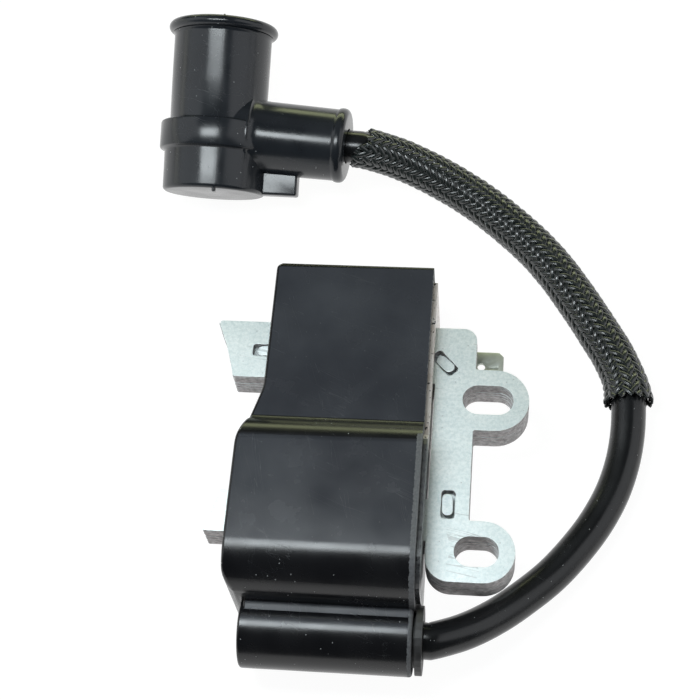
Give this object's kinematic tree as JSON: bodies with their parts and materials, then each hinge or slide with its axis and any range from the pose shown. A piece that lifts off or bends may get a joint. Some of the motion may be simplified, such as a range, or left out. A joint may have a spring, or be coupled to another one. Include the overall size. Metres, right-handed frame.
{
  "type": "ignition coil",
  "caption": "Ignition coil for a small engine: laminated core with slotted ears, potted black case, blade terminal, sleeved high-tension lead and angled plug boot.",
  "frame": {"origin": "under the middle of the core and case taken together, on the plane that the case lies on", "axes": "+Z out of the lamination plane; the pole faces look towards -X and the mounting ears point towards +X; the lead leaves along +X at the front, and the plug boot lies behind at +Y"},
  "size_m": [0.0996, 0.1335, 0.0337],
  "materials": {
    "braided_sleeve": "black varnished glass-fibre braid",
    "case": "moulded black, glossy with light scuffs",
    "charge_bobbin": "natural moulded nylon",
    "charge_capacitor": "dipped film capacitor",
    "charge_winding": "enamelled copper wire, brown-red",
    "circuit_board": "green solder mask",
    "contact_pin": "plain steel wire",
    "contact_spring": "plain spring steel",
    "control_chip": "black moulded package",
    "core_stack": "blanked steel laminations with a pale grey bonding coat",
    "diode_1": "black moulded package",
    "diode_2": "black moulded package",
    "ht_contact": "plain turned brass",
    "ht_lead": "extruded black insulation, glossy",
    "kill_terminal": "tinned, slightly yellow",
    "lead_boot_end": "extruded black insulation",
    "lead_coil_end": "extruded black insulation",
    "lead_seal": "black sealant with a ragged edge",
    "plug_boot": "moulded black rubber, semi-gloss",
    "primary_bobbin": "natural moulded nylon",
    "primary_winding": "enamelled copper wire, brown-red",
    "resin": "cast black resin, level and slightly glossy",
    "resistor_1": "black chip",
    "resistor_2": "black chip",
    "secondary_bobbin": "natural moulded nylon",
    "secondary_winding_1": "fine enamelled copper wire, brown-red",
    "secondary_winding_2": "fine enamelled copper wire, brown-red",
    "secondary_winding_3": "fine enamelled copper wire, brown-red",
    "secondary_winding_4": "fine enamelled copper wire, brown-red",
    "secondary_winding_5": "fine enamelled copper wire, brown-red",
    "thyristor": "black moulded package"
  },
  "bodies": {
    "coil": {"braided_sleeve": "braided_sleeve", "case": "case", "charge_bobbin": "charge_bobbin", "charge_capacitor": "charge_capacitor", "charge_winding": "charge_winding", "circuit_board": "circuit_board", "control_chip": "control_chip", "core_stack": "core_stack", "diode_1": "diode_1", "diode_2": "diode_2", "ht_contact": "ht_contact", "ht_lead": "ht_lead", "kill_terminal": "kill_terminal", "lead_boot_end": "lead_boot_end", "lead_coil_end": "lead_coil_end", "lead_seal": "lead_seal", "primary_bobbin": "primary_bobbin", "primary_winding": "primary_winding", "resin": "resin", "resistor_1": "resistor_1", "resistor_2": "resistor_2", "secondary_bobbin": "secondary_bobbin", "secondary_winding_1": "secondary_winding_1", "secondary_winding_2": "secondary_winding_2", "secondary_winding_3": "secondary_winding_3", "secondary_winding_4": "secondary_winding_4", "secondary_winding_5": "secondary_winding_5", "thyristor": "thyristor"},
    "boot": {"plug_boot": "plug_boot", "contact_spring": "contact_spring", "contact_pin": "contact_pin"}
  },
  "joints": [
    {"name": "boot_swivel", "type": "hinge", "parent": "coil", "child": "boot", "pos_m": [-0.0352, 0.0717, 0.01447], "axis": [0.996, -0.0889, 0], "range_deg": [-25, 65]}
  ]
}
